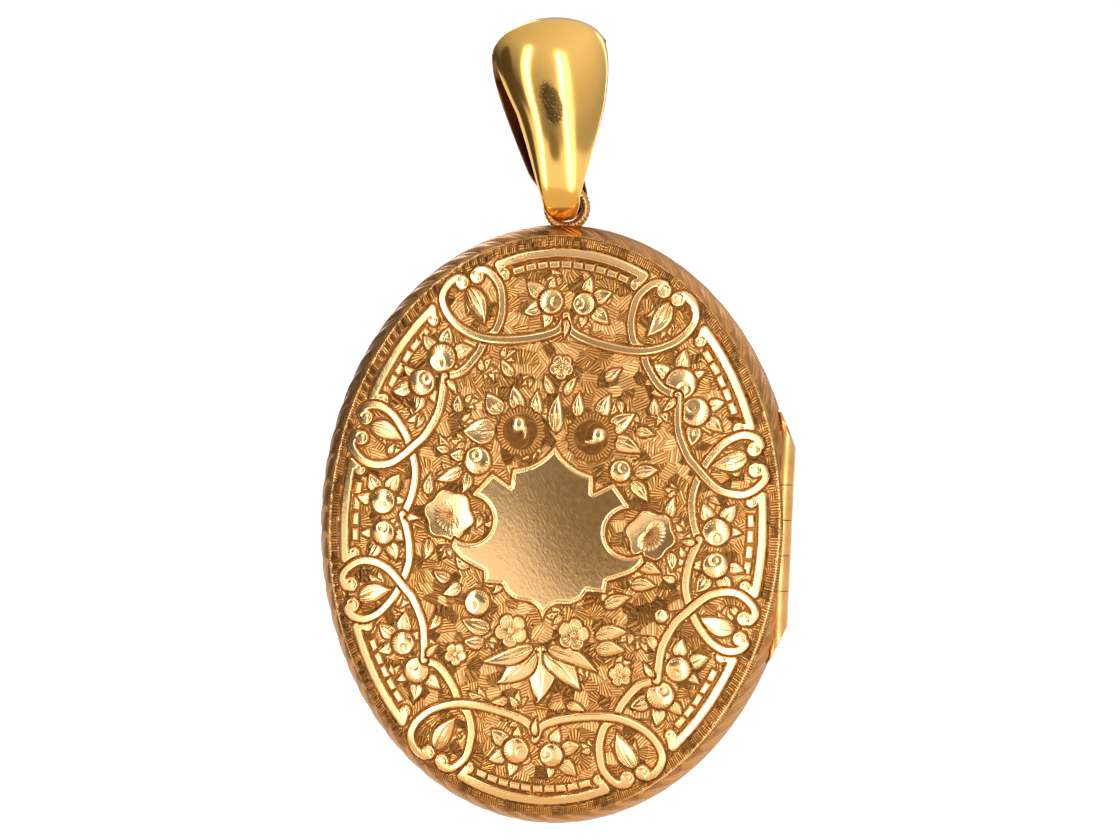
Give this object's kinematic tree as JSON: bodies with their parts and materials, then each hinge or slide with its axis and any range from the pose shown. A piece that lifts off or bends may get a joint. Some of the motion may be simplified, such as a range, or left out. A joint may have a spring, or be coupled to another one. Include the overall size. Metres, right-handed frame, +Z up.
{
  "type": "locket",
  "caption": "Oval double-sided locket: two domed engraved halves on a side hinge, each with a glazed photo frame, hung from a top loop by a tapered bail.",
  "frame": {"origin": "where a chain bears, under the crown of the bail's arch", "axes": "+Z up along the hanging case, +X to the hinge side, +Y from the engraved front to the back"},
  "size_m": [0.0329, 0.009, 0.0559],
  "materials": {
    "engraved_gold": "hand-engraved, aged rose gold",
    "case_gold": "satin, aged rose gold",
    "polished_gold": "polished rose gold",
    "inner_gold": "clean satin gold",
    "pin": "drawn wire",
    "crystal": "clear bevelled glass",
    "card": "blank cream card"
  },
  "bodies": {
    "bail": {"bail": "polished_gold"},
    "back_case": {"loop": "case_gold", "loop_saddle": "case_gold", "back_cover": "engraved_gold", "back_band": "case_gold", "back_rim_plate": "inner_gold", "back_photo_seat": "inner_gold", "snap_lip": "inner_gold", "back_photo_frame": "inner_gold", "back_crystal": "crystal", "back_photo_card": "card", "back_liner_plate": "inner_gold", "back_knuckle_top": "case_gold", "back_knuckle_middle": "case_gold", "back_knuckle_bottom": "case_gold", "hinge_pin": "pin"},
    "front_case": {"front_cover": "engraved_gold", "front_band": "case_gold", "front_rim_plate": "inner_gold", "front_photo_seat": "inner_gold", "front_photo_frame": "inner_gold", "front_crystal": "crystal", "front_photo_card": "card", "front_liner_plate": "inner_gold", "front_knuckle_upper": "case_gold", "front_knuckle_lower": "case_gold"}
  },
  "joints": [
    {"name": "case_swing", "type": "hinge", "parent": "bail", "child": "back_case", "pos_m": [0.00197, 0, -0.01135], "axis": [1, 0, 0], "range_deg": [-12, 12]},
    {"name": "case_opening", "type": "hinge", "parent": "back_case", "child": "front_case", "pos_m": [0.01792, -0.00085, -0.0346], "axis": [0, 0, 1], "range_deg": [0, 140]}
  ]
}
